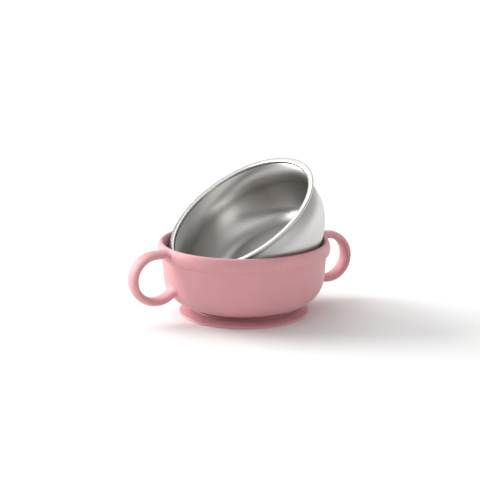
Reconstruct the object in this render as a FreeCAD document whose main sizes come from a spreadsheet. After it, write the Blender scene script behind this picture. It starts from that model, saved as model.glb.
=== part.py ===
"""Suction bowl: a silicone holder on a suction foot, with a loose steel bowl leaning in it.

Frame: millimetres, +Z up, origin on the table at the centre of the suction foot.
+X runs along the two handles. The front is -Y.
"""
import FreeCAD, Part
import Sketcher
import math
import os

SIZES = {
    # steel bowl, measured from its rim
    "SteelRadius": 57.6,  # outside of the wall
    "SteelDepth": 48.0,  # top of the rim to the underside of the base
    "SteelCornerWidth": 21.1,  # wall to the flat of the base, level
    "SteelCornerDepth": 27.0,  # straight wall to the base, upright
    "SheetThickness": 0.7,
    "RimWidth": 3.8,  # rolled rim, outwards from the wall
    "RimHeight": 2.0,
    "RimRound": 0.9,
    # how the steel bowl leans in the holder
    "LeanAngle": 35.85,
    "LeanHeading": -173.6,
    "LeanShift": 4.06,
    "LeanGap": 0.8,
    # holder
    "NestGap": 0.8,  # between the steel wall and the cavity
    "FloorGap": 0.4,  # under the steel base when it is seated
    "RimOverlap": 0.86,  # how far a seated rim reaches over the collar
    "WallThickness": 2.3,
    "CornerRadius": 21.7,  # outside of the bottom corner
    "CollarThickness": 4.46,
    "CollarBulge": 8.0,
    "CollarRound": 1.7,
    # handles
    "HandleReach": 28.8,  # outwards from the collar
    "HandleRadius": 17.4,  # ring's centreline
    "HandleThickness": 6.0,
    "HandleWidth": 13.8,
    "HandleDrop": 4.0,  # collar's crest to the upper strand's centreline
    "HandleSlope": 40.0,  # lower strand where it meets the wall
    # suction foot
    "NeckRadius": 36.0,
    "NeckHeight": 2.7,
    "CupRadius": 49.2,
    "CupEdge": 1.6,
    "CupHeight": 4.2,  # table to the cup's top at the neck
    "CupHollow": 2.2,
    "CupContact": 3.0,  # width of the ring that lies on the table
}

# Sizes that follow from the driving ones, as expressions.
BASE_FLAT = "(Sizes.SteelRadius - Sizes.SteelCornerWidth)"
STEEL_STRAIGHT = "(Sizes.SteelDepth - Sizes.SteelCornerDepth)"
RIM_RADIUS = "(Sizes.SteelRadius + Sizes.RimWidth)"
RIM_FLAT_SHARE = 0.1  # of the rim's height, left flat between its rounded edges
RIM_ROUND = f"min(Sizes.RimRound; Sizes.RimHeight * {(1 - RIM_FLAT_SHARE) / 2})"
CAVITY = "(Sizes.SteelRadius + Sizes.NestGap)"
MOUTH = f"({RIM_RADIUS} - Sizes.RimOverlap)"
COLLAR = f"({MOUTH} + Sizes.CollarThickness)"
BOTTOM = "(Sizes.CupHeight + Sizes.NeckHeight)"
FLOOR = f"({BOTTOM} + Sizes.WallThickness)"
CREST = f"({FLOOR} + Sizes.FloorGap + Sizes.SteelDepth - Sizes.RimHeight)"
CORNER_X = f"({CAVITY} + Sizes.WallThickness - Sizes.CornerRadius)"
CORNER_Z = f"({BOTTOM} + Sizes.CornerRadius)"
HANDLE_X = f"({COLLAR} + Sizes.HandleReach - Sizes.HandleThickness / 2 - Sizes.HandleRadius)"
HANDLE_TOP = f"({CREST} - Sizes.HandleDrop)"
HANDLE_Z = f"({HANDLE_TOP} - Sizes.HandleRadius)"

# The steel corner is two tangent arcs that share its turn equally.
HALF_TURN = "(sqrt(2) / 2)"
BASE_ARC = (
    f"((Sizes.SteelCornerWidth * {HALF_TURN} - Sizes.SteelCornerDepth * (1 - {HALF_TURN}))"
    " / (sqrt(2) - 1))"
)
WALL_ARC = (
    f"((Sizes.SteelCornerDepth * {HALF_TURN} - Sizes.SteelCornerWidth * (1 - {HALF_TURN}))"
    " / (sqrt(2) - 1))"
)

# The leaning bowl stands as low as the collar's mouth and the holder's floor both allow.
LEAN = "(Sizes.LeanAngle * 1 deg)"
HEADING = "(Sizes.LeanHeading * 1 deg)"
LEAN_IN_MOUTH = (
    f"({CREST} + Sizes.LeanShift / tan({LEAN})"
    f" + sqrt((Sizes.LeanShift / sin({LEAN})) ^ 2 + {RIM_RADIUS} ^ 2"
    f" - ({MOUTH} - Sizes.LeanGap) ^ 2))"
)
LEAN_ON_FLOOR = (
    f"({FLOOR} + Sizes.LeanGap + {BASE_FLAT} * sin({LEAN})"
    f" + (Sizes.SteelDepth - {BASE_ARC}) * cos({LEAN}) + {BASE_ARC})"
)
LEANING = (
    f"placement(vector(Sizes.LeanShift * cos({HEADING}); Sizes.LeanShift * sin({HEADING});"
    f" max({LEAN_IN_MOUTH}; {LEAN_ON_FLOOR}));"
    f" rotation(vector(-sin({HEADING}); cos({HEADING}); 0); {LEAN}))"
)

START, END, CENTRE = 1, 2, 3  # points of a sketch edge
ORIGIN = (-1, 1)
UPRIGHT_AXIS = -2

doc = FreeCAD.newDocument("suction_bowl")
sheet = doc.addObject("Spreadsheet::Sheet", "Sizes")
for row, (alias, number) in enumerate(SIZES.items(), start=1):
    sheet.set(f"A{row}", str(number))
    sheet.setAlias(f"A{row}", alias)
doc.recompute()


def size(expression):
    """The present value of an expression, in millimetres."""
    return float(sheet.evalExpression(expression))


class Outline:
    """A sketch on one of a body's own origin planes, drawn edge by edge."""

    def __init__(self, body, name, role):
        plane = next(f for f in body.Origin.OriginFeatures if f.Role == role)
        self.sketch = body.newObject("Sketcher::SketchObject", name)
        self.sketch.AttachmentSupport = [(plane, "")]
        self.sketch.MapMode = "FlatFace"

    def line(self, start, end, construction=False):
        edge = Part.LineSegment(FreeCAD.Vector(*start, 0), FreeCAD.Vector(*end, 0))
        return self.sketch.addGeometry(edge, construction)

    def arc(self, centre, radius, first, last, construction=False):
        """An arc that runs anticlockwise from the first angle to the last, in degrees."""
        circle = Part.Circle(FreeCAD.Vector(*centre, 0), FreeCAD.Vector(0, 0, 1), radius)
        edge = Part.ArcOfCircle(circle, math.radians(first), math.radians(last))
        return self.sketch.addGeometry(edge, construction)

    def tie(self, kind, *references):
        self.sketch.addConstraint(Sketcher.Constraint(kind, *references))

    def join(self, *pairs):
        for first, second in pairs:
            self.tie("Coincident", *first, *second)

    def smooth(self, *pairs):
        for first, second in pairs:
            self.tie("Tangent", *first, *second)

    def bind(self, kind, references, expression):
        """A driving dimension that takes its value from the sheet."""
        dimension = Sketcher.Constraint(kind, *references, size(expression))
        index = self.sketch.addConstraint(dimension)
        self.sketch.setExpression(f"Constraints[{index}]", expression)

    def put(self, point, across, up):
        """Place a point by its distances from the origin."""
        if across is None:
            self.tie("PointOnObject", *point, UPRIGHT_AXIS)
        else:
            self.bind("DistanceX", (*ORIGIN, *point), across)
        self.bind("DistanceY", (*ORIGIN, *point), up)


def new_body(label):
    body = doc.addObject("PartDesign::Body", label)
    body.Label = label
    return body


def turn(body, kind, sketch):
    """Revolve or groove a sketch right round the upright axis."""
    feature = body.newObject(f"PartDesign::{kind}", f"{body.Name}_{kind.lower()}")
    feature.Profile = sketch
    feature.ReferenceAxis = (sketch, ["V_Axis"])
    feature.Angle = 360.0
    return feature


def holder_outline(body, name, hollow):
    """Half section of the holder. Solid right through when it isn't hollow."""
    draw = Outline(body, name, "XZ_Plane")
    corner = (size(CORNER_X), size(CORNER_Z))
    outer = size("Sizes.CornerRadius")
    inner = size("Sizes.CornerRadius - Sizes.WallThickness")
    mouth = (size(MOUTH), size(f"{CREST} - Sizes.CollarRound"))
    lean = math.degrees(math.atan2(mouth[0] - size(CAVITY), mouth[1] - corner[1]))
    wall_foot = (corner[0] + outer, corner[1])
    cavity_foot = (corner[0] + inner, corner[1])
    top_centre = (mouth[0] + size("Sizes.CollarRound"), mouth[1])
    bulge_radius, bulge_x = size("Sizes.CollarBulge"), size(f"{COLLAR} - Sizes.CollarBulge")
    gap = size("Sizes.CollarBulge - Sizes.CollarRound")
    above = math.acos((top_centre[0] - bulge_x) / gap)
    below = math.acos((wall_foot[0] - bulge_x) / bulge_radius)
    bulge = (bulge_x, top_centre[1] - gap * math.sin(above))
    low_edge = (wall_foot[0], bulge[1] - bulge_radius * math.sin(below))

    under = draw.line((0, size(BOTTOM)), (corner[0], size(BOTTOM)))
    outer_corner = draw.arc(corner, outer, -90, -lean)
    wall = draw.line(wall_foot, low_edge)
    side = draw.arc(bulge, bulge_radius, -math.degrees(below), math.degrees(above))
    last_angle = 180 if hollow else 90
    top = draw.arc(top_centre, size("Sizes.CollarRound"), math.degrees(above), last_angle)
    cavity_wall = draw.line(mouth, cavity_foot, not hollow)
    inner_corner = draw.arc(corner, inner, -90, -lean, not hollow)

    draw.join(
        ((under, END), (outer_corner, START)),
        ((wall, END), (side, START)),
        ((inner_corner, CENTRE), (outer_corner, CENTRE)),
    )
    draw.smooth(
        ((outer_corner, END), (wall, START)),
        ((side, END), (top, START)),
        ((cavity_wall, END), (inner_corner, END)),
    )
    draw.tie("Parallel", wall, cavity_wall)
    draw.put((under, START), None, BOTTOM)
    draw.tie("Horizontal", under)
    draw.put((outer_corner, CENTRE), CORNER_X, CORNER_Z)
    draw.tie("Vertical", outer_corner, START, outer_corner, CENTRE)
    draw.bind("Radius", (inner_corner,), "Sizes.CornerRadius - Sizes.WallThickness")
    draw.tie("Vertical", inner_corner, START, inner_corner, CENTRE)
    draw.bind("Radius", (side,), "Sizes.CollarBulge")
    draw.bind("DistanceX", (*ORIGIN, side, CENTRE), f"{COLLAR} - Sizes.CollarBulge")
    draw.bind("Radius", (top,), "Sizes.CollarRound")
    draw.put((top, CENTRE), f"{MOUTH} + Sizes.CollarRound", f"{CREST} - Sizes.CollarRound")

    if hollow:
        draw.join(((cavity_wall, START), (top, END)))
        draw.tie("Horizontal", top, END, top, CENTRE)
        last_point = (inner_corner, START)
        level = size(FLOOR)
    else:
        draw.put((cavity_wall, START), MOUTH, f"{CREST} - Sizes.CollarRound")
        draw.tie("Vertical", top, END, top, CENTRE)
        last_point = (top, END)
        level = size(CREST)
    lid = draw.line((0, level), (corner[0], level))
    axis = draw.line((0, level), (0, size(BOTTOM)))
    draw.join(((lid, END), last_point), ((axis, START), (lid, START)), ((axis, END), (under, START)))
    draw.tie("Horizontal", lid)
    draw.tie("Vertical", axis)
    return draw.sketch


def outer_bowl():
    """Wall, floor and collar of the silicone holder."""
    body = new_body("outer_bowl")
    turn(body, "Revolution", holder_outline(body, "holder_section", True))
    return body


def handle(label, half_turn):
    """A ring handle: an oval band that leaves the collar level and curls back to the wall."""
    body = new_body(label)
    radius = size("Sizes.HandleRadius")
    centre = (size(HANDLE_X), size(HANDLE_Z))
    slope = math.radians(size("Sizes.HandleSlope"))
    inside = size(f"{CAVITY} - Sizes.HandleThickness / 2")
    low = (centre[0] - radius * math.sin(slope), centre[1] - radius * math.cos(slope))
    tail_end = (inside, low[1] + (low[0] - inside) * math.tan(slope))

    draw = Outline(body, f"{label}_path", "XZ_Plane")
    upper = draw.line((inside, size(HANDLE_TOP)), (centre[0], size(HANDLE_TOP)))
    ring = draw.arc(centre, radius, -90 - math.degrees(slope), 90)
    tail = draw.line(low, tail_end)
    draw.smooth(((upper, END), (ring, END)), ((ring, START), (tail, START)))
    draw.put((ring, CENTRE), HANDLE_X, HANDLE_Z)
    draw.bind("Radius", (ring,), "Sizes.HandleRadius")
    draw.tie("Horizontal", upper)
    draw.bind("DistanceX", (*ORIGIN, upper, START), f"{CAVITY} - Sizes.HandleThickness / 2")
    draw.bind("DistanceX", (*ORIGIN, tail, END), f"{CAVITY} - Sizes.HandleThickness / 2")
    draw.bind(
        "DistanceX", (ring, START, ring, CENTRE), "Sizes.HandleRadius * sin(Sizes.HandleSlope * 1 deg)"
    )
    path = draw.sketch

    draw = Outline(body, f"{label}_section", "YZ_Plane")
    middle = FreeCAD.Vector(0, size(HANDLE_TOP), 0)
    half_width, half_thickness = size("Sizes.HandleWidth / 2"), size("Sizes.HandleThickness / 2")
    side, crown = FreeCAD.Vector(half_width, 0, 0), FreeCAD.Vector(0, half_thickness, 0)
    oval = draw.sketch.addGeometry(Part.Ellipse(middle + side, middle + crown, middle))
    draw.sketch.exposeInternalGeometry(oval)
    long_axis, short_axis = oval + 1, oval + 2
    draw.put((oval, CENTRE), None, HANDLE_TOP)
    draw.tie("Horizontal", long_axis)
    draw.bind("Distance", (long_axis,), "Sizes.HandleWidth")
    draw.bind("Distance", (short_axis,), "Sizes.HandleThickness")
    section = draw.sketch
    section.setExpression("AttachmentOffset.Base.z", f"{CAVITY} - Sizes.HandleThickness / 2")
    doc.recompute()

    band = body.newObject("PartDesign::AdditivePipe", f"{label}_band")
    band.Profile = section
    band.Spine = (path, ["Edge1", "Edge2", "Edge3"])
    doc.recompute()
    whole = band.Shape.Volume
    trim = turn(body, "Groove", holder_outline(body, f"{label}_wall", False))
    doc.recompute()
    if not 0 < trim.Shape.Volume < whole:
        raise RuntimeError(f"{label}: the wall takes nothing off the band")
    if half_turn:
        turned = FreeCAD.Rotation(FreeCAD.Vector(0, 0, 1), 180)
        body.Placement = FreeCAD.Placement(FreeCAD.Vector(), turned)
    return body


def foot_neck():
    """Short round stem between the holder and the suction cup."""
    body = new_body("foot_neck")
    draw = Outline(body, "neck_circle", "XY_Plane")
    circle = Part.Circle(FreeCAD.Vector(), FreeCAD.Vector(0, 0, 1), size("Sizes.NeckRadius"))
    edge = draw.sketch.addGeometry(circle)
    draw.tie("Coincident", edge, CENTRE, *ORIGIN)
    draw.bind("Radius", (edge,), "Sizes.NeckRadius")
    draw.sketch.setExpression("AttachmentOffset.Base.z", "Sizes.CupHeight")
    stem = body.newObject("PartDesign::Pad", "neck_stem")
    stem.Profile = draw.sketch
    stem.setExpression("Length", "Sizes.NeckHeight")
    return body


def suction_cup():
    """Thin flared disc with a hollow underside and a flat ring that grips the table."""
    body = new_body("suction_cup")
    draw = Outline(body, "cup_section", "XZ_Plane")
    edge_round = size("Sizes.CupEdge / 2")
    edge_x = size("Sizes.CupRadius - Sizes.CupEdge / 2")
    contact = size("Sizes.CupRadius - Sizes.CupContact")
    hollow = size("Sizes.CupHollow")
    dome = (contact ** 2 + hollow ** 2) / (2 * hollow)
    sweep = math.degrees(math.asin(contact / dome))
    neck = (size("Sizes.NeckRadius"), size("Sizes.CupHeight"))
    fall = math.degrees(math.atan2(neck[1] - 2 * edge_round, edge_x - neck[0]))

    ring = draw.line((contact, 0), (edge_x, 0))
    edge = draw.arc((edge_x, edge_round), edge_round, -90, 90 - fall)
    flare = draw.line((edge_x, 2 * edge_round), neck)
    land = draw.line(neck, (0, neck[1]))
    axis = draw.line((0, neck[1]), (0, hollow))
    vault = draw.arc((0, hollow - dome), dome, 90 - sweep, 90)
    draw.join(
        ((flare, END), (land, START)),
        ((land, END), (axis, START)),
        ((axis, END), (vault, END)),
        ((vault, START), (ring, START)),
    )
    draw.smooth(((ring, END), (edge, START)), ((edge, END), (flare, START)))
    draw.tie("PointOnObject", ring, START, -1)
    draw.tie("Horizontal", ring)
    draw.bind("DistanceX", (*ORIGIN, ring, START), "Sizes.CupRadius - Sizes.CupContact")
    draw.bind("DistanceX", (*ORIGIN, edge, CENTRE), "Sizes.CupRadius - Sizes.CupEdge / 2")
    draw.bind("Radius", (edge,), "Sizes.CupEdge / 2")
    draw.put((land, START), "Sizes.NeckRadius", "Sizes.CupHeight")
    draw.tie("Horizontal", land)
    draw.tie("PointOnObject", land, END, UPRIGHT_AXIS)
    draw.put((vault, END), None, "Sizes.CupHollow")
    draw.tie("PointOnObject", vault, CENTRE, UPRIGHT_AXIS)
    turn(body, "Revolution", draw.sketch)
    return body


def steel_bowl():
    """Pressed sheet bowl below its rim: a straight wall, a two-arc corner and a flat base."""
    body = new_body("steel_bowl")
    draw = Outline(body, "steel_section", "XZ_Plane")
    sheet_thickness = size("Sizes.SheetThickness")
    radius, depth = size("Sizes.SteelRadius"), size("Sizes.SteelDepth")
    flat, straight = size(BASE_FLAT), size(STEEL_STRAIGHT)
    wall_centre = (radius - size(WALL_ARC), -straight)
    base_centre = (flat, size(BASE_ARC) - depth)
    top = -size("Sizes.RimHeight")

    def skin(inset):
        """One side of the sheet: wall line, wall arc, base arc and base line."""
        wall = draw.line((radius - inset, top), (radius - inset, -straight))
        wall_arc = draw.arc(wall_centre, size(WALL_ARC) - inset, -45, 0)
        base_arc = draw.arc(base_centre, size(BASE_ARC) - inset, -90, -45)
        base = draw.line((flat, inset - depth), (0, inset - depth))
        draw.smooth(
            ((wall, END), (wall_arc, END)),
            ((wall_arc, START), (base_arc, END)),
            ((base_arc, START), (base, START)),
        )
        draw.tie("Vertical", wall)
        draw.tie("Horizontal", base)
        draw.tie("PointOnObject", base, END, UPRIGHT_AXIS)
        return wall, wall_arc, base_arc, base

    outside, inside = skin(0.0), skin(sheet_thickness)
    lip = draw.line((radius - sheet_thickness, top), (radius, top))
    axis = draw.line((0, -depth), (0, sheet_thickness - depth))
    draw.join(
        ((lip, START), (inside[0], START)),
        ((lip, END), (outside[0], START)),
        ((axis, START), (outside[3], END)),
        ((axis, END), (inside[3], END)),
        ((inside[1], CENTRE), (outside[1], CENTRE)),
        ((inside[2], CENTRE), (outside[2], CENTRE)),
    )
    draw.tie("Horizontal", lip)
    draw.bind("DistanceX", (*ORIGIN, lip, END), "Sizes.SteelRadius")
    draw.bind("DistanceY", (lip, END, *ORIGIN), "Sizes.RimHeight")
    draw.bind("Distance", (lip,), "Sizes.SheetThickness")
    draw.bind("DistanceX", (*ORIGIN, outside[1], CENTRE), f"Sizes.SteelRadius - {WALL_ARC}")
    draw.bind("DistanceY", (outside[1], CENTRE, *ORIGIN), STEEL_STRAIGHT)
    draw.bind("DistanceX", (*ORIGIN, outside[2], CENTRE), BASE_FLAT)
    draw.bind("DistanceY", (outside[2], CENTRE, *ORIGIN), f"Sizes.SteelDepth - {BASE_ARC}")
    turn(body, "Revolution", draw.sketch)
    body.setExpression("Placement", LEANING)
    return body


def steel_rim():
    """Rolled rim of the steel bowl: a flattened ring round the top of the wall."""
    body = new_body("steel_rim")
    draw = Outline(body, "rim_section", "XZ_Plane")
    low = -size("Sizes.RimHeight")
    inner, outer = size("Sizes.SteelRadius - Sizes.SheetThickness"), size(RIM_RADIUS)
    left = draw.line((inner, low), (inner, 0))
    top = draw.line((inner, 0), (outer, 0))
    right = draw.line((outer, 0), (outer, low))
    under = draw.line((outer, low), (inner, low))
    draw.join(
        ((left, END), (top, START)),
        ((top, END), (right, START)),
        ((right, END), (under, START)),
        ((under, END), (left, START)),
    )
    for edge in (top, under):
        draw.tie("Horizontal", edge)
    for edge in (left, right):
        draw.tie("Vertical", edge)
    draw.bind("DistanceX", (*ORIGIN, left, END), "Sizes.SteelRadius - Sizes.SheetThickness")
    draw.tie("PointOnObject", left, END, -1)
    draw.bind("DistanceX", (*ORIGIN, right, START), RIM_RADIUS)
    draw.bind("DistanceY", (left, START, *ORIGIN), "Sizes.RimHeight")
    ring = turn(body, "Revolution", draw.sketch)
    doc.recompute()

    def is_rounded(edge):
        """Every edge of the ring but the one that joins the wall."""
        box = edge.BoundBox
        return not (box.XMax < inner + size("Sizes.SheetThickness") and box.ZMax < low / 2)

    names = [f"Edge{i}" for i, edge in enumerate(ring.Shape.Edges, start=1)
             if isinstance(edge.Curve, Part.Circle) and is_rounded(edge)]
    soft = body.newObject("PartDesign::Fillet", "rim_round")
    soft.Base = (ring, names)
    soft.setExpression("Radius", RIM_ROUND)
    body.setExpression("Placement", LEANING)
    return body


SUB_PARTS = [
    suction_cup(),
    foot_neck(),
    outer_bowl(),
    handle("handle_right", False),
    handle("handle_left", True),
    steel_bowl(),
    steel_rim(),
]
doc.recompute()

for item in doc.Objects:
    if "Invalid" in item.State or "Error" in item.State:
        raise RuntimeError(f"{item.Name} did not build: {item.State}")
for part in SUB_PARTS:
    if part.Shape.isNull() or not part.Shape.isValid() or len(part.Shape.Solids) != 1:
        raise RuntimeError(f"{part.Label} is not one valid solid")

os.makedirs("parts", exist_ok=True)
for part in SUB_PARTS:
    part.Shape.exportStep(f"parts/{part.Label}.step")
    box = part.Shape.BoundBox
    print(
        f"{part.Label:14s} {part.Shape.Volume:10.1f} mm3"
        f"  x {box.XMin:7.2f} {box.XMax:7.2f}  y {box.YMin:7.2f} {box.YMax:7.2f}"
        f"  z {box.ZMin:7.2f} {box.ZMax:7.2f}"
    )
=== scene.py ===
"""Finished surfaces of a toddler's suction bowl: a pink silicone holder and a loose steel bowl.

Lengths are in metres. +Z is up, +X runs along the two handles, and the front is -Y.
"""
import math

import bmesh
import bpy
from bpy.props import FloatProperty, FloatVectorProperty, PointerProperty
from mathutils import Euler, Matrix, Vector
from mathutils.bvhtree import BVHTree


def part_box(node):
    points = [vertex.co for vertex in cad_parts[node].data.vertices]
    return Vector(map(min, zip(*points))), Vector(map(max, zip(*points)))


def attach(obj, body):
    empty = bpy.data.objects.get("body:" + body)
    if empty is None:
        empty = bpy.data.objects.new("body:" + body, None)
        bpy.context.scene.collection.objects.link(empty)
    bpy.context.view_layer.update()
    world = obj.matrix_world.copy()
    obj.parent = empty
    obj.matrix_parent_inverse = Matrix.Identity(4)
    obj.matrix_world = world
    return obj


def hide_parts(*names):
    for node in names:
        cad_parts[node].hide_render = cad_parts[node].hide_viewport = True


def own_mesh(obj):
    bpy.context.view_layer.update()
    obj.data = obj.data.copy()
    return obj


bl_info = {
    "name": "Suction Bowl",
    "version": (1, 0, 0),
    "blender": (4, 5, 0),
    "location": "View3D > Sidebar > Suction Bowl",
    "description": "Makes a silicone suction bowl with ring handles and a leaning steel bowl",
    "category": "Add Mesh",
}

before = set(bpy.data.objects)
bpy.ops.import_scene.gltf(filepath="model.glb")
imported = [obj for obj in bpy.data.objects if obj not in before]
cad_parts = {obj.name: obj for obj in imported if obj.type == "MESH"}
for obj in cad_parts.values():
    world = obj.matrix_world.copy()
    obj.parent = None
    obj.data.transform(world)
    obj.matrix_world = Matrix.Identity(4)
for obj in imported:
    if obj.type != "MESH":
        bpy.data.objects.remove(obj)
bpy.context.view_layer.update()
holder_low, holder_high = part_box("outer_bowl")
handle_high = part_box("handle_right")[1]
neck_low, neck_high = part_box("foot_neck")
cup_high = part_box("suction_cup")[1]
rim_low, rim_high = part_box("steel_rim")


def length(label, words, default):
    """A size in metres."""
    return FloatProperty(name=label, description=words, default=default, min=0.0, unit="LENGTH")


def turn(label, words, degrees):
    """An angle, whose default is given in degrees."""
    return FloatProperty(name=label, description=words, default=math.radians(degrees), subtype="ANGLE")


def share(label, words, default):
    """A number from 0 to 1."""
    return FloatProperty(name=label, description=words, default=default, min=0.0, max=1.0)


def brightness(label, words, default):
    """The strength of a lamp or of a glowing card."""
    return FloatProperty(name=label, description=words, default=default, min=0.0)


def paint(label, words, default):
    """A colour."""
    return FloatVectorProperty(
        name=label, description=words, default=default, size=3, min=0.0, max=1.0, subtype="COLOR"
    )


class HolderSizes(bpy.types.PropertyGroup):
    """The silicone bowl that the steel one sits in."""

    mouth: length("Mouth radius", "Inside of the collar at its crest", 0.06054)
    wall: length("Wall", "Thickness of the wall and floor", 0.0023)
    wall_foot: length("Wall foot radius", "Line of the outer wall carried down to the bottom", 0.05897)
    wall_head: length("Wall head radius", "Outside of the wall under the collar", 0.0621)
    corner: length("Corner radius", "Outside radius of the bottom corner", 0.0217)
    bead: length("Bead radius", "Roundness of the collar's outside", 0.008)
    lower_bead: length("Lower bead radius", "Roundness of the collar's lower edge", 0.0045)
    crease: length("Crease radius", "Fillet in the angle under the collar", 0.0004)
    crest: length("Crest radius", "Roundness of the collar's top", 0.0017)


class HandleSizes(bpy.types.PropertyGroup):
    """The two ring handles."""

    ring: length("Ring radius", "Radius of the band's centreline", 0.0174)
    thickness: length("Thickness", "Band, measured in the plane of the ring", 0.006)
    slope: turn("Slope", "Rise of the lower strand where it meets the wall", 40.0)
    root: length("Root fillet", "Size of the fillet where the band meets the wall", 0.0026)


class FootSizes(bpy.types.PropertyGroup):
    """The neck and the flexible suction cup."""

    neck_fillet: length("Neck fillet", "Fillets above and below the neck", 0.0011)
    neck_flare: length("Neck flare", "Spread of the neck where it runs into the cup and the bowl", 0.004)
    edge: length("Edge", "Thickness of the cup's edge", 0.0016)
    edge_round: share("Edge rounding", "Radius of the cup's edge, as a share of its thickness", 0.42)
    contact: length("Contact ring", "Width of the ring that lies on the table", 0.003)
    contact_fillet: length("Contact fillet", "Inner rounding of the contact ring", 0.002)
    hollow: length("Hollow", "Height of the hollow under the cup", 0.0022)
    roof_round: length("Roof rounding", "Radius of the bend in the hollow's roof", 0.03)
    shoulder_round: length("Shoulder rounding", "Radius where the cup's top meets the neck", 0.02)


class SteelSizes(bpy.types.PropertyGroup):
    """The pressed bowl and its rolled rim."""

    wall: length("Wall radius", "Outside of the wall", 0.0576)
    depth: length("Depth", "Top of the rim to the underside of the base", 0.048)
    corner_width: length("Corner width", "Wall to the flat of the base, level", 0.0211)
    corner_depth: length("Corner depth", "Straight wall to the base, upright", 0.027)
    sheet: length("Sheet", "Thickness of the sheet", 0.0007)
    rim_width: length("Rim width", "Rolled rim, outwards from the wall", 0.0038)
    rim_height: length("Rim height", "Rolled rim, along the bowl's axis", 0.002)
    rim_inner_round: length("Rim inner rounding", "Radius of the rim's inner edge", 0.0011)
    rim_outer_round: length("Rim outer rounding", "Radius of the rim's two outer edges", 0.0009)
    lean: turn("Lean", "Tilt of the bowl from upright", 35.85)
    heading: turn("Heading", "Way that the mouth faces, from +X", -173.6)


class Finishes(bpy.types.PropertyGroup):
    """Colours and surface qualities."""

    silicone: paint("Silicone", "Colour of the silicone", (0.63, 0.293, 0.318))
    silicone_roughness: share("Silicone roughness", "Mean roughness of the silicone", 0.52)
    steel: paint("Steel", "Colour of the steel", (0.54, 0.53, 0.512))
    # Darker than the outside steel as painted shade of the bowl's hollow; the brushing itself is only in the
    # roughness.
    brushed_and_shaded: paint("Brushed steel", "Colour of the brushed inside", (0.495, 0.486, 0.47))
    satin_roughness: share("Satin roughness", "Mean roughness of the bowl's outside", 0.25)
    brushed_roughness: share("Brushed roughness", "Mean roughness of the bowl's inside", 0.3)
    anisotropy: share("Anisotropy", "Stretch of highlights across the polishing rings", 0.4)
    rim_roughness: share("Rim roughness", "Mean roughness of the rolled rim", 0.16)


class StudioSetup(bpy.types.PropertyGroup):
    """Camera, lights and floor."""

    camera_place: FloatVectorProperty(
        name="Camera place", description="Where the camera stands", subtype="XYZ", unit="LENGTH",
        default=(-0.4298, -0.7980, 0.2653),
    )
    camera_dip: turn("Camera dip", "How far the camera looks down", 13.06)
    camera_swing: turn("Camera swing", "Turn of the camera about upright", -28.12)
    lens: FloatProperty(name="Lens", description="Focal length in millimetres", default=92.75, min=1.0)
    key: brightness("Key light", "Strength of the low light, behind on the left", 3.9)
    key_heading: turn("Key heading", "Way to the key light, from +X", 129.0)
    key_height: turn("Key height", "Height of the key light", 22.0)
    key_spread: turn("Light spread", "Width of each light as seen from the bowl", 46.0)
    fill: brightness("Fill light", "Strength of the high light", 0.93)
    fill_heading: turn("Fill heading", "Way to the fill light, from +X", 110.0)
    fill_height: turn("Fill height", "Height of the fill light", 58.0)
    ceiling: brightness("Ceiling", "Brightness overhead", 0.5)
    reflector: brightness("Reflector", "Brightness of the low card", 1.5)
    reflector_heading: turn("Reflector heading", "Way to the low card, from +X", -3.0)
    card: brightness("Card", "Brightness of the front left card", 1.4)
    card_heading: turn("Card heading", "Way to the front left card, from +X", 222.0)
    back_card: brightness("Back card", "Brightness of the card opposite", 0.65)
    backdrop: brightness("Backdrop", "Brightness that is seen beyond the floor", 1.1)
    floor: paint("Floor", "Colour of the floor", (0.86, 0.86, 0.855))


# ---------------------------------------------------------------- mesh tools

# Two arcs that use up the run between them are drawn a hair small, so that the run keeps its ends.
ARC_SHY = 0.99
SHEET_ARC_SHY = 0.999
DEGREES_PER_SEGMENT = 5
MERGE_DISTANCE = 2e-6


def round_corner(mesh, corner, radius):
    """Replace one corner of a wire outline with an arc of the given radius."""
    first, second = (edge.other_vert(corner).co - corner.co for edge in corner.link_edges)
    bend = math.pi - first.angle(second)
    bmesh.ops.bevel(
        mesh, geom=[corner], offset=radius * math.tan(bend / 2), offset_type="OFFSET",
        segments=max(3, round(math.degrees(bend) / DEGREES_PER_SEGMENT)), profile=0.5,
        affect="VERTICES", clamp_overlap=False, material=-1,
    )


def draw_outline(corners, closed=False):
    """A wire in the XZ plane through (x, z, corner radius) points, with its corners rounded."""
    mesh = bmesh.new()
    points = [mesh.verts.new((x, 0.0, z)) for x, z, _ in corners]
    for here, there in zip(points, points[1:]):
        mesh.edges.new((here, there))
    if closed:
        mesh.edges.new((points[-1], points[0]))
    for point, (_, _, radius) in zip(points, corners):
        if radius:
            round_corner(mesh, point, radius)
    return mesh


def revolve(mesh, steps):
    """Spin a wire right round the upright axis and close it."""
    bmesh.ops.spin(
        mesh, geom=mesh.verts[:] + mesh.edges[:], cent=(0, 0, 0), axis=(0, 0, 1), dvec=(0, 0, 0),
        angle=math.tau, steps=steps, use_merge=True, use_duplicate=False,
    )
    bmesh.ops.remove_doubles(mesh, verts=mesh.verts[:], dist=MERGE_DISTANCE)
    bmesh.ops.recalc_face_normals(mesh, faces=mesh.faces[:])


def finish_piece(mesh, name, body, material, replaced):
    """Turn a bmesh into a smooth-shaded piece that rides on a body and stands for a CAD node."""
    for face in mesh.faces:
        face.smooth = True
    data = bpy.data.meshes.new(name)
    mesh.to_mesh(data)
    mesh.free()
    data.materials.append(material)
    piece = bpy.data.objects.new(name, data)
    bpy.context.scene.collection.objects.link(piece)
    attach(piece, body)
    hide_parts(replaced)
    return piece


def finish_silicone(mesh, name, body, replaced):
    """Finish a bmesh as a silicone piece."""
    return finish_piece(mesh, name, body, silicone_material(), replaced)


# ---------------------------------------------------------------- node groups and materials


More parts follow.
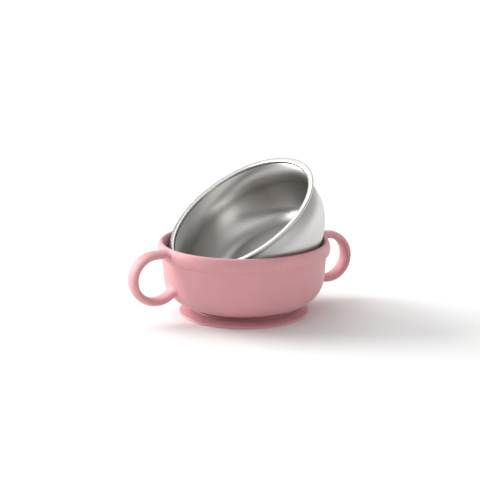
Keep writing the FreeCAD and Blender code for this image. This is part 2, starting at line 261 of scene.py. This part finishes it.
def new_group(name, inputs, outputs):
    """An empty shader node group with float, vector or colour sockets, and its two end nodes."""
    group = bpy.data.node_groups.new(name, "ShaderNodeTree")
    for label, kind, default in inputs:
        socket = group.interface.new_socket(label, in_out="INPUT", socket_type=kind)
        if default is not None:
            socket.default_value = default
    for label, kind in outputs:
        group.interface.new_socket(label, in_out="OUTPUT", socket_type=kind)
    return group, group.nodes.new("NodeGroupInput"), group.nodes.new("NodeGroupOutput")


class Wiring:
    """Short calls for adding and linking nodes in one tree."""

    def __init__(self, tree):
        self.tree = tree

    def add(self, kind, **settings):
        node = self.tree.nodes.new(kind)
        for name, value in settings.items():
            setattr(node, name, value)
        return node

    def feed(self, socket, source):
        if isinstance(source, bpy.types.NodeSocket):
            self.tree.links.new(source, socket)
        else:
            socket.default_value = source

    def maths(self, operation, first, second=0.0):
        node = self.add("ShaderNodeMath", operation=operation)
        self.feed(node.inputs[0], first)
        self.feed(node.inputs[1], second)
        return node.outputs[0]

    def noise(self, place, scale, detail=2.0, roughness=0.5):
        node = self.add("ShaderNodeTexNoise")
        self.feed(node.inputs["Vector"], place)
        self.feed(node.inputs["Scale"], scale)
        self.feed(node.inputs["Detail"], detail)
        self.feed(node.inputs["Roughness"], roughness)
        return node.outputs["Fac"]

    def spread(self, value, span, onto):
        """Map one range on to another, clamped."""
        node = self.add("ShaderNodeMapRange")
        for socket, source in zip(node.inputs, (value, *span, *onto)):
            self.feed(socket, source)
        return node.outputs[0]

    def blend(self, share_of_second, first, second):
        node = self.add("ShaderNodeMix", data_type="RGBA")
        self.feed(node.inputs["Factor"], share_of_second)
        self.feed(node.inputs["A"], first)
        self.feed(node.inputs["B"], second)
        return node.outputs["Result"]

    def group(self, tree, **inputs):
        node = self.add("ShaderNodeGroup", node_tree=tree)
        for name, source in inputs.items():
            self.feed(node.inputs[name.replace("_", " ")], source)
        return node


def lint_group():
    """Sparse pale motes of lint and powder, which soft rubber and steel both pick up."""
    group, start, end = new_group(
        "lint_and_powder",
        [
            ("Place", "NodeSocketVector", None),
            ("Scale", "NodeSocketFloat", 900.0),
            ("Amount", "NodeSocketFloat", 0.5),
        ],
        [("Mask", "NodeSocketFloat")],
    )
    wire = Wiring(group)
    cells = wire.add("ShaderNodeTexVoronoi", feature="F1")
    wire.feed(cells.inputs["Vector"], start.outputs["Place"])
    wire.feed(cells.inputs["Scale"], start.outputs["Scale"])
    mote = wire.spread(cells.outputs["Distance"], span=(0.05, 0.16), onto=(1.0, 0.0))
    patches = wire.noise(start.outputs["Place"], scale=45.0, detail=3.0)
    drifts = wire.spread(patches, span=(0.52, 0.72), onto=(0.0, 1.0))
    mask = wire.maths("MULTIPLY", wire.maths("MULTIPLY", mote, drifts), start.outputs["Amount"])
    wire.feed(end.inputs["Mask"], mask)
    return group


def tone_group():
    """Slow drift of tone over a surface, as from uneven thickness or handling."""
    group, start, end = new_group(
        "slow_tone",
        [
            ("Place", "NodeSocketVector", None),
            ("Scale", "NodeSocketFloat", 30.0),
            ("Low", "NodeSocketFloat", 0.0),
            ("High", "NodeSocketFloat", 1.0),
        ],
        [("Value", "NodeSocketFloat")],
    )
    wire = Wiring(group)
    drift = wire.noise(start.outputs["Place"], start.outputs["Scale"], detail=4.0, roughness=0.55)
    value = wire.spread(drift, span=(0.35, 0.65), onto=(start.outputs["Low"], start.outputs["High"]))
    wire.feed(end.inputs["Value"], value)
    return group


def lathe_group():
    """Fine rings left by polishing a bowl on a lathe, about the Z axis of the given place."""
    wander = 0.0012
    streak_share = 0.13
    group, start, end = new_group(
        "lathe_rings",
        [
            ("Place", "NodeSocketVector", None),
            ("Ring Scale", "NodeSocketFloat", 2600.0),
        ],
        [("Rings", "NodeSocketFloat"), ("Streaks", "NodeSocketFloat")],
    )
    wire = Wiring(group)
    parts = wire.add("ShaderNodeSeparateXYZ")
    wire.feed(parts.inputs[0], start.outputs["Place"])
    across = wire.maths(
        "SQRT",
        wire.maths(
            "ADD",
            wire.maths("MULTIPLY", parts.outputs["X"], parts.outputs["X"]),
            wire.maths("MULTIPLY", parts.outputs["Y"], parts.outputs["Y"]),
        ),
    )
    around = wire.maths("ARCTAN2", parts.outputs["Y"], parts.outputs["X"])
    flat = wire.add("ShaderNodeCombineXYZ")
    wire.feed(flat.inputs["X"], across)
    wire.feed(flat.inputs["Y"], wire.maths("MULTIPLY", wire.maths("SINE", around), wander))
    wire.feed(flat.inputs["Z"], parts.outputs["Z"])
    rings = wire.noise(flat.outputs[0], start.outputs["Ring Scale"], detail=3.0, roughness=0.6)
    coarse = wire.maths("MULTIPLY", start.outputs["Ring Scale"], streak_share)
    streaks = wire.noise(flat.outputs[0], coarse, detail=3.0)
    wire.feed(end.inputs["Rings"], rings)
    wire.feed(end.inputs["Streaks"], streaks)
    return group


def shared_group(name, maker):
    """The named node group, made the first time that it is asked for."""
    return bpy.data.node_groups.get(name) or maker()


def new_material(name):
    """A material with one Principled BSDF, and short calls to wire it."""
    material = bpy.data.materials.new(name)
    material.use_nodes = True
    wire = Wiring(material.node_tree)
    return material, wire, material.node_tree.nodes["Principled BSDF"]


def shade(colour, factor):
    """A colour made lighter or darker, with full alpha."""
    return (*(Vector(colour) * factor), 1.0)


def raise_bumps(wire, height, distance, strength, normal=None):
    """A Bump node's normal, laid over another normal if one is given."""
    bump = wire.add("ShaderNodeBump")
    wire.feed(bump.inputs["Height"], height)
    bump.inputs["Distance"].default_value = distance
    bump.inputs["Strength"].default_value = strength
    if normal is not None:
        wire.feed(bump.inputs["Normal"], normal)
    return bump.outputs["Normal"]


def silicone_material():
    """Matte dusty pink silicone: fine moulded grain, slow tone, and a little lint."""
    found = bpy.data.materials.get("pink_silicone")
    if found:
        return found
    finish = bpy.context.scene.bowl_finishes
    material, wire, shader = new_material("pink_silicone")
    place = wire.add("ShaderNodeTexCoord").outputs["Object"]
    tone = wire.group(
        shared_group("slow_tone", tone_group), Place=place, Scale=26.0, Low=0.0, High=1.0
    ).outputs["Value"]
    lint = wire.group(
        shared_group("lint_and_powder", lint_group), Place=place, Scale=1400.0, Amount=0.22
    ).outputs["Mask"]
    colour = wire.blend(tone, shade(finish.silicone, 0.96), shade(finish.silicone, 1.03))
    pale_lint = (0.86, 0.72, 0.72, 1.0)
    wire.feed(shader.inputs["Base Color"], wire.blend(lint, colour, pale_lint))

    grain = wire.noise(place, scale=2400.0, detail=3.0, roughness=0.6)
    mean, drift, grain_share = finish.silicone_roughness, 0.03, 0.05
    uneven = wire.maths(
        "ADD",
        wire.spread(tone, span=(0.0, 1.0), onto=(mean - drift, mean + drift)),
        wire.maths("MULTIPLY", grain, grain_share),
    )
    wire.feed(shader.inputs["Roughness"], uneven)
    skin = raise_bumps(wire, grain, distance=0.00003, strength=0.35)
    ripple = wire.noise(place, scale=120.0, detail=2.0)
    rippled = raise_bumps(wire, ripple, distance=0.0001, strength=0.12, normal=skin)
    wire.feed(shader.inputs["Normal"], rippled)
    shader.inputs["Specular IOR Level"].default_value = 0.62
    shader.inputs["Subsurface Weight"].default_value = 0.18
    shader.inputs["Subsurface Radius"].default_value = (1.0, 0.42, 0.38)
    shader.inputs["Subsurface Scale"].default_value = 0.0022
    shader.inputs["Sheen Weight"].default_value = 0.14
    shader.inputs["Sheen Roughness"].default_value = 0.5
    return material


def steel_material(name, base, roughness, grain, streak):
    """Stainless steel polished in rings about the bowl's own axis.

    grain is the strength of the rings' relief, and streak how far they darken the steel.
    """
    found = bpy.data.materials.get(name)
    if found:
        return found
    finish = bpy.context.scene.bowl_finishes
    material, wire, shader = new_material(name)
    object_place = wire.add("ShaderNodeTexCoord").outputs["Object"]
    leaning = steel_place()
    own = wire.add("ShaderNodeMapping", vector_type="TEXTURE")
    wire.feed(own.inputs["Vector"], object_place)
    own.inputs["Location"].default_value = leaning.translation
    own.inputs["Rotation"].default_value = leaning.to_euler()
    place = own.outputs["Vector"]

    lathe = wire.group(shared_group("lathe_rings", lathe_group), Place=place, Ring_Scale=2600.0)
    tone = wire.group(
        shared_group("slow_tone", tone_group), Place=place, Scale=34.0, Low=0.0, High=1.0
    ).outputs["Value"]
    lint = wire.group(
        shared_group("lint_and_powder", lint_group), Place=place, Scale=1100.0, Amount=0.05
    ).outputs["Mask"]
    streaks = wire.maths("MULTIPLY", lathe.outputs["Streaks"], streak)
    colour = wire.blend(streaks, shade(base, 1.0), shade(base, 0.82))
    patches = wire.maths("MULTIPLY", tone, 0.25)
    wire.feed(shader.inputs["Base Color"], wire.blend(patches, colour, shade(base, 1.08)))
    shader.inputs["Metallic"].default_value = 1.0
    smoother, rougher, grain_share = 0.02, 0.025, 0.05
    uneven = wire.maths(
        "ADD",
        wire.spread(tone, span=(0.0, 1.0), onto=(roughness - smoother, roughness + rougher)),
        wire.maths("MULTIPLY", wire.maths("ADD", lathe.outputs["Rings"], lint), grain_share),
    )
    wire.feed(shader.inputs["Roughness"], uneven)
    ringed = raise_bumps(wire, lathe.outputs["Rings"], distance=0.00002, strength=grain)
    wire.feed(shader.inputs["Normal"], ringed)

    # The tangent runs round the bowl, and a quarter turn stretches highlights across the rings.
    axis = leaning.to_3x3() @ Vector((0.0, 0.0, 1.0))
    from_axis = wire.add("ShaderNodeVectorMath", operation="SUBTRACT")
    wire.feed(from_axis.inputs[0], object_place)
    wire.feed(from_axis.inputs[1], tuple(leaning.translation))
    around = wire.add("ShaderNodeVectorMath", operation="CROSS_PRODUCT")
    wire.feed(around.inputs[0], tuple(axis))
    wire.feed(around.inputs[1], from_axis.outputs[0])
    wire.feed(shader.inputs["Tangent"], around.outputs[0])
    shader.inputs["Anisotropic"].default_value = finish.anisotropy
    shader.inputs["Anisotropic Rotation"].default_value = 0.25
    return material


def brushed_shaded_steel():
    """The inside of the bowl: brushed steel whose colour is darker than the outside's as painted shade of
    the hollow.
    """
    finish = bpy.context.scene.bowl_finishes
    return steel_material(
        "brushed_shaded_steel", finish.brushed_and_shaded, finish.brushed_roughness, grain=0.25, streak=0.5
    )


def satin_steel():
    """The outside of the bowl."""
    finish = bpy.context.scene.bowl_finishes
    return steel_material("satin_steel", finish.steel, finish.satin_roughness, grain=0.15, streak=0.4)


def polished_steel():
    """The rolled rim."""
    finish = bpy.context.scene.bowl_finishes
    return steel_material("polished_steel", finish.steel, finish.rim_roughness, grain=0.06, streak=0.2)


# ---------------------------------------------------------------- shapes


def steel_place():
    """Where the steel bowl's own frame lies: its origin is the centre of the rim's top."""
    sizes = bpy.context.scene.bowl_steel
    tilt_axis = Vector((-math.sin(sizes.heading), math.cos(sizes.heading), 0.0))
    tilt = Matrix.Rotation(sizes.lean, 4, tilt_axis)
    middle = (rim_low + rim_high) / 2
    top = middle + tilt.to_3x3() @ Vector((0.0, 0.0, sizes.rim_height / 2))
    return Matrix.Translation(top) @ tilt


def holder_mesh():
    """The silicone bowl: a leaning wall under a rounded collar, the same thickness all over.

    The collar's outside is one arc, the bead, which the small crest arc meets at its top. above and
    below are how far round the bead the crest and the wall meet it, from level.
    """
    sizes = bpy.context.scene.bowl_holder
    bottom, top, collar = holder_low.z, holder_high.z, holder_high.y
    floor = bottom + sizes.wall
    bead_x = collar - sizes.bead
    crest_x = sizes.mouth + sizes.crest
    shift, gap = crest_x - bead_x, sizes.bead - sizes.crest
    bead_z = top - sizes.crest - math.sqrt(gap ** 2 - shift ** 2)
    above = math.acos(shift / gap)
    below = math.acos((sizes.wall_head - bead_x) / sizes.bead)
    edge_z = bead_z - sizes.bead * math.sin(below)
    lean = (sizes.wall_head - sizes.wall_foot) / (edge_z - bottom)
    mesh = draw_outline([
        (0.0, bottom, 0.0),
        (sizes.wall_foot, bottom, sizes.corner),
        (sizes.wall_head, edge_z, sizes.crease),
        (collar, bead_z - sizes.bead * math.tan(below / 2), sizes.lower_bead),
        (collar, bead_z + sizes.bead * math.tan(above / 2), sizes.bead * ARC_SHY),
        (crest_x + sizes.crest * math.tan(math.pi / 4 - above / 2), top, sizes.crest * ARC_SHY),
        (sizes.mouth, top, sizes.crest),
        (sizes.mouth - lean * (top - floor), floor, sizes.corner - sizes.wall),
        (0.0, floor, 0.0),
    ])
    revolve(mesh, steps=192)
    return mesh


def handle_mesh(wall_tree):
    """A ring handle on the right: an oval band with filleted roots."""
    sizes = bpy.context.scene.bowl_handles
    half_thick = sizes.thickness / 2
    ring_x = handle_high.x - half_thick - sizes.ring
    ring_z = handle_high.z - half_thick - sizes.ring
    centre = Vector((ring_x, 0.0, ring_z))
    top = centre + Vector((0.0, 0.0, sizes.ring))

    mesh = bmesh.new()
    oval = bmesh.ops.create_circle(mesh, cap_ends=False, segments=48, radius=1.0)["verts"]
    bmesh.ops.scale(mesh, vec=(half_thick, handle_high.y, 1.0), verts=oval)
    bmesh.ops.rotate(mesh, cent=(0, 0, 0), matrix=Matrix.Rotation(math.pi / 2, 3, "Y"), verts=oval)
    bmesh.ops.translate(mesh, vec=top, verts=oval)
    upper_loop = mesh.edges[:]
    made = bmesh.ops.spin(
        mesh, geom=mesh.verts[:] + mesh.edges[:], cent=centre, axis=(0, 1, 0), dvec=(0, 0, 0),
        angle=math.pi + sizes.slope, steps=64, use_merge=False, use_duplicate=False,
    )["geom_last"]
    lower_loop = [item for item in made if isinstance(item, bmesh.types.BMEdge)]

    slope = Matrix.Rotation(math.pi + sizes.slope, 3, "Y")
    low = centre + slope @ (top - centre)
    add_root(mesh, upper_loop, top, Vector((-1.0, 0.0, 0.0)), wall_tree, sizes.root)
    add_root(mesh, lower_loop, low, slope @ Vector((1.0, 0.0, 0.0)), wall_tree, sizes.root)
    bmesh.ops.recalc_face_normals(mesh, faces=mesh.faces[:])
    return mesh


ROOT_STEPS = (0.0, 0.15, 0.3, 0.45, 0.6, 0.75, 0.88, 1.0)


def add_root(mesh, loop, centre, inward, wall_tree, fillet):
    """Carry an open end of the band to the wall, flare it into a fillet and close it inside.

    Each point of the loop follows a curve from its start, a fillet's size short of the wall, by way
    of the foot, straight ahead on the wall, to the spread point, aside on the wall.
    """
    backed_off = inward * 0.004
    below_crest = holder_high.z - 0.0006
    sink = inward * 0.0008
    plan = {}
    for vert in {vert for edge in loop for vert in edge.verts}:
        aside = vert.co + (vert.co - centre).normalized() * fillet
        aside.z = min(aside.z, below_crest)
        foot = wall_tree.ray_cast(vert.co - backed_off, inward)[0]
        spread = wall_tree.ray_cast(aside - backed_off, inward)[0]
        plan[vert] = (foot - inward * fillet, foot, spread)

    for step in (*ROOT_STEPS, None):
        made = bmesh.ops.extrude_edge_only(mesh, edges=loop)["geom"]
        fresh = {item for item in made if isinstance(item, bmesh.types.BMVert)}
        loop = [item for item in made if isinstance(item, bmesh.types.BMEdge) and set(item.verts) <= fresh]
        moved = {}
        for vert in fresh:
            source = next(edge.other_vert(vert) for edge in vert.link_edges if edge.other_vert(vert) in plan)
            start, foot, spread = moved[vert] = plan[source]
            if step is None:
                vert.co = spread + sink
            else:
                vert.co = start * (1 - step) ** 2 + foot * 2 * step * (1 - step) + spread * step ** 2
        plan = moved
    bmesh.ops.holes_fill(mesh, edges=loop, sides=0)


def neck_mesh():
    """The short stem, which flares into the cup below it and the bowl above it."""
    sizes = bpy.context.scene.bowl_foot
    radius = neck_high.x
    flared = radius + sizes.neck_flare
    overlap, slope_rise = 0.0003, 0.0001
    bottom, top = neck_low.z - overlap, neck_high.z + overlap
    mesh = draw_outline([
        (0.0, bottom, 0.0),
        (flared, bottom, 0.0),
        (radius, neck_low.z + slope_rise, sizes.neck_fillet),
        (radius, neck_high.z - slope_rise, sizes.neck_fillet),
        (flared, top, 0.0),
        (0.0, top, 0.0),
    ])
    revolve(mesh, steps=160)
    return mesh


def cup_mesh():
    """The suction cup: a thin flared disc, hollow underneath, that lies on a narrow ring."""
    sizes = bpy.context.scene.bowl_foot
    radius, top = cup_high.x, cup_high.z
    edge_radius = sizes.edge * sizes.edge_round
    inner = radius - sizes.contact
    bend_out, bend_up = 0.55, 0.74
    mesh = draw_outline([
        (0.0, sizes.hollow, 0.0),
        (inner * bend_out, sizes.hollow * bend_up, sizes.roof_round),
        (inner, 0.0, sizes.contact_fillet),
        (radius, 0.0, edge_radius),
        (radius, sizes.edge, edge_radius),
        (neck_high.x, top, sizes.shoulder_round),
        (0.0, top, 0.0),
    ])
    revolve(mesh, steps=176)
    return mesh


def steel_mesh():
    """The pressed sheet. Two tangent arcs of 45 degrees each carry its wall round to its base."""
    sizes = bpy.context.scene.bowl_steel
    slant = math.sqrt(0.5)
    tangent = math.tan(math.pi / 8)
    wall_arc = (sizes.corner_depth * slant - sizes.corner_width * (1 - slant)) / tangent
    base_arc = (sizes.corner_width * slant - sizes.corner_depth * (1 - slant)) / tangent
    high = -(sizes.depth - sizes.corner_depth + wall_arc * tangent)
    flat = sizes.wall - sizes.corner_width + base_arc * tangent

    def skin(inset):
        """The upper and lower corner of one side of the sheet."""
        knee_in = inset * tangent
        return [
            (sizes.wall - inset, high + knee_in, (wall_arc - inset) * SHEET_ARC_SHY),
            (flat - knee_in, inset - sizes.depth, (base_arc - inset) * SHEET_ARC_SHY),
        ]

    lip = -sizes.rim_height
    mesh = draw_outline(
        [(0.0, -sizes.depth, 0.0)] + skin(0.0)[::-1] + [(sizes.wall, lip, 0.0)]
        + [(sizes.wall - sizes.sheet, lip, 0.0)] + skin(sizes.sheet)
        + [(0.0, sizes.sheet - sizes.depth, 0.0)]
    )
    revolve(mesh, steps=192)
    bmesh.ops.transform(mesh, matrix=steel_place(), verts=mesh.verts[:])
    return mesh


def rim_mesh():
    """The rolled rim: a flattened ring that stands out from the wall's top."""
    sizes = bpy.context.scene.bowl_steel
    inner, outer, low = sizes.wall - sizes.sheet, sizes.wall + sizes.rim_width, -sizes.rim_height
    mesh = draw_outline(
        [
            (inner, low, 0.0),
            (inner, 0.0, sizes.rim_inner_round),
            (outer, 0.0, sizes.rim_outer_round),
            (outer, low, sizes.rim_outer_round),
            (sizes.wall, low, 0.0),
        ],
        closed=True,
    )
    revolve(mesh, steps=192)
    bmesh.ops.transform(mesh, matrix=steel_place(), verts=mesh.verts[:])
    return mesh


# ---------------------------------------------------------------- operators


class MakeHolder(bpy.types.Operator):
    """Make the silicone bowl with its collar"""

    bl_idname = "suction_bowl.holder"
    bl_label = "Holder"

    def execute(self, context):
        finish_silicone(holder_mesh(), "holder_shell", "holder", "outer_bowl")
        return {"FINISHED"}


class MakeHandles(bpy.types.Operator):
    """Make the two ring handles and fillet them on to the holder"""

    bl_idname = "suction_bowl.handles"
    bl_label = "Handles"

    def execute(self, context):
        shell = holder_mesh()
        wall_tree = BVHTree.FromBMesh(shell)
        shell.free()
        for side, turned in (("right", 0.0), ("left", math.pi)):
            mesh = handle_mesh(wall_tree)
            bmesh.ops.rotate(
                mesh, cent=(0, 0, 0), matrix=Matrix.Rotation(turned, 3, "Z"), verts=mesh.verts[:]
            )
            finish_silicone(mesh, f"ring_handle_{side}", "holder", f"handle_{side}")
        return {"FINISHED"}


class MakeFoot(bpy.types.Operator):
    """Make the neck and the suction cup, which keeps its shape here though the real cup flattens when
    pressed down
    """

    bl_idname = "suction_bowl.foot"
    bl_label = "Foot"

    def execute(self, context):
        finish_silicone(neck_mesh(), "neck_stem", "holder", "foot_neck")
        cup = finish_silicone(cup_mesh(), "suction_disc", "foot", "suction_cup")
        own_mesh(cup)
        return {"FINISHED"}


class MakeSteelBowl(bpy.types.Operator):
    """Make the pressed steel bowl and its rolled rim"""

    bl_idname = "suction_bowl.steel"
    bl_label = "Steel bowl"

    def execute(self, context):
        shell = finish_piece(
            steel_mesh(), "steel_shell", "steel", satin_steel(), "steel_bowl"
        )
        # Faces inside the bowl take the darker steel, whose extra darkness is painted shade.
        shell.data.materials.append(brushed_shaded_steel())
        brushed_shaded_index = 1
        halfway_up = math.sqrt(0.5)
        to_bowl = steel_place().inverted()
        for face in shell.data.polygons:
            facing = to_bowl.to_3x3() @ face.normal
            centre = to_bowl @ face.center
            faces_axis = facing.x * centre.x + facing.y * centre.y < 0
            if faces_axis or facing.z > halfway_up:
                face.material_index = brushed_shaded_index
        finish_piece(rim_mesh(), "rolled_rim", "steel", polished_steel(), "steel_rim")
        return {"FINISHED"}


class MakeStudio(bpy.types.Operator):
    """Make the floor, the soft lights and the camera"""

    bl_idname = "suction_bowl.studio"
    bl_label = "Studio"

    def execute(self, context):
        setup = context.scene.bowl_studio
        make_floor(setup)
        make_world(setup)
        make_lights(setup)
        make_camera(setup)
        context.scene.view_settings.view_transform = "Standard"
        return {"FINISHED"}


FLOOR_REACH = 12.0
# How steeply a direction rises where the low cards fade out, and where the ceiling fades in.
LOW_CARD_FADE = (0.15, 0.45)
CEILING_FADE = (0.55, 0.85)


def make_floor(setup):
    """A wide, level, pale floor."""
    mesh = bmesh.new()
    bmesh.ops.create_grid(mesh, x_segments=1, y_segments=1, size=FLOOR_REACH)
    data = bpy.data.meshes.new("floor")
    mesh.to_mesh(data)
    mesh.free()
    material, wire, shader = new_material("pale_floor")
    place = wire.add("ShaderNodeTexCoord").outputs["Object"]
    drift = wire.noise(place, scale=3.0, detail=2.0)
    colour = wire.blend(drift, shade(setup.floor, 0.99), shade(setup.floor, 1.0))
    wire.feed(shader.inputs["Base Color"], colour)
    shader.inputs["Roughness"].default_value = 0.7
    data.materials.append(material)
    floor = bpy.data.objects.new("floor", data)
    bpy.context.scene.collection.objects.link(floor)


def panel(wire, direction, heading, band):
    """Soft mask for a pale card that stands the given way from the bowl, within a band of heights."""
    parts = wire.add("ShaderNodeSeparateXYZ")
    wire.feed(parts.inputs[0], direction)
    across = wire.add("ShaderNodeCombineXYZ")
    wire.feed(across.inputs["X"], parts.outputs["X"])
    wire.feed(across.inputs["Y"], parts.outputs["Y"])
    level = wire.add("ShaderNodeVectorMath", operation="NORMALIZE")
    wire.feed(level.inputs[0], across.outputs[0])
    facing = wire.add("ShaderNodeVectorMath", operation="DOT_PRODUCT")
    wire.feed(facing.inputs[0], level.outputs[0])
    wire.feed(facing.inputs[1], (math.cos(heading), math.sin(heading), 0.0))
    side = wire.spread(facing.outputs["Value"], span=(-1.0, 1.0), onto=(0.0, 1.0))
    return wire.maths("MULTIPLY", wire.maths("MULTIPLY", side, side), band)


def make_world(setup):
    """Pale cards round the bowl and a ceiling. Beyond the floor the camera sees plain white."""
    world = bpy.data.worlds.new("studio")
    world.use_nodes = True
    wire = Wiring(world.node_tree)
    direction = wire.add("ShaderNodeTexCoord").outputs["Generated"]
    parts = wire.add("ShaderNodeSeparateXYZ")
    wire.feed(parts.inputs[0], direction)
    low = wire.spread(parts.outputs["Z"], LOW_CARD_FADE, onto=(1.0, 0.0))
    ceiling = wire.spread(parts.outputs["Z"], CEILING_FADE, onto=(0.0, 1.0))
    middle = wire.maths("SUBTRACT", wire.maths("SUBTRACT", 1.0, low), ceiling)
    lit = wire.maths("MULTIPLY", ceiling, setup.ceiling)
    for heading, band, strength in (
        (setup.reflector_heading, low, setup.reflector),
        (setup.card_heading, middle, setup.card),
        (setup.card_heading + math.pi, middle, setup.back_card),
    ):
        card = wire.maths("MULTIPLY", panel(wire, direction, heading, band), strength)
        lit = wire.maths("ADD", lit, card)
    strength = wire.add("ShaderNodeMix", data_type="FLOAT")
    wire.feed(strength.inputs["Factor"], wire.add("ShaderNodeLightPath").outputs["Is Camera Ray"])
    wire.feed(strength.inputs["A"], lit)
    wire.feed(strength.inputs["B"], setup.backdrop)
    background = world.node_tree.nodes["Background"]
    background.inputs["Color"].default_value = (1.0, 1.0, 1.0, 1.0)
    wire.feed(background.inputs["Strength"], strength.outputs["Result"])
    bpy.context.scene.world = world


def broad_light(name, heading, height, spread, power):
    """A broad, far, soft lamp that lights the whole floor evenly."""
    data = bpy.data.lights.new(name, "SUN")
    data.energy = power
    data.angle = spread
    lamp = bpy.data.objects.new(name, data)
    bpy.context.scene.collection.objects.link(lamp)
    lamp.rotation_euler = Euler((math.pi / 2 - height, 0.0, heading + math.pi / 2))


def make_lights(setup):
    """A low key light and a high fill light."""
    broad_light("key", setup.key_heading, setup.key_height, setup.key_spread, setup.key)
    broad_light("fill", setup.fill_heading, setup.fill_height, setup.key_spread, setup.fill)


def make_camera(setup):
    """The camera, which looks slightly down at the bowl from the front and the left."""
    data = bpy.data.cameras.new("camera")
    data.lens = setup.lens
    data.sensor_width = 36.0
    camera = bpy.data.objects.new("camera", data)
    camera.location = setup.camera_place
    camera.rotation_euler = Euler((math.pi / 2 - setup.camera_dip, 0.0, setup.camera_swing))
    bpy.context.scene.collection.objects.link(camera)
    bpy.context.scene.camera = camera


OPERATORS = (MakeHolder, MakeHandles, MakeFoot, MakeSteelBowl, MakeStudio)
GROUPS = {
    "bowl_holder": HolderSizes,
    "bowl_handles": HandleSizes,
    "bowl_foot": FootSizes,
    "bowl_steel": SteelSizes,
    "bowl_finishes": Finishes,
    "bowl_studio": StudioSetup,
}


class BowlPanel(bpy.types.Panel):
    """Sizes, finishes and the pieces to make"""

    bl_idname = "VIEW3D_PT_suction_bowl"
    bl_label = "Suction Bowl"
    bl_space_type = "VIEW_3D"
    bl_region_type = "UI"
    bl_category = "Suction Bowl"

    def draw(self, context):
        for attribute, group in GROUPS.items():
            box = self.layout.box()
            box.label(text=group.__doc__)
            for name in group.__annotations__:
                box.prop(getattr(context.scene, attribute), name)
        for operator in OPERATORS:
            self.layout.operator(operator.bl_idname)


def register():
    """Register the sizes, the operators and the panel."""
    for attribute, group in GROUPS.items():
        bpy.utils.register_class(group)
        setattr(bpy.types.Scene, attribute, PointerProperty(type=group))
    for made in (*OPERATORS, BowlPanel):
        bpy.utils.register_class(made)


def unregister():
    """Undo register."""
    for made in (BowlPanel, *reversed(OPERATORS)):
        bpy.utils.unregister_class(made)
    for attribute, group in reversed(GROUPS.items()):
        delattr(bpy.types.Scene, attribute)
        bpy.utils.unregister_class(group)


def main():
    """Make every piece and the studio."""
    register()
    bpy.ops.suction_bowl.holder()
    bpy.ops.suction_bowl.handles()
    bpy.ops.suction_bowl.foot()
    bpy.ops.suction_bowl.steel()
    bpy.ops.suction_bowl.studio()


if __name__ == "__main__":
    main()
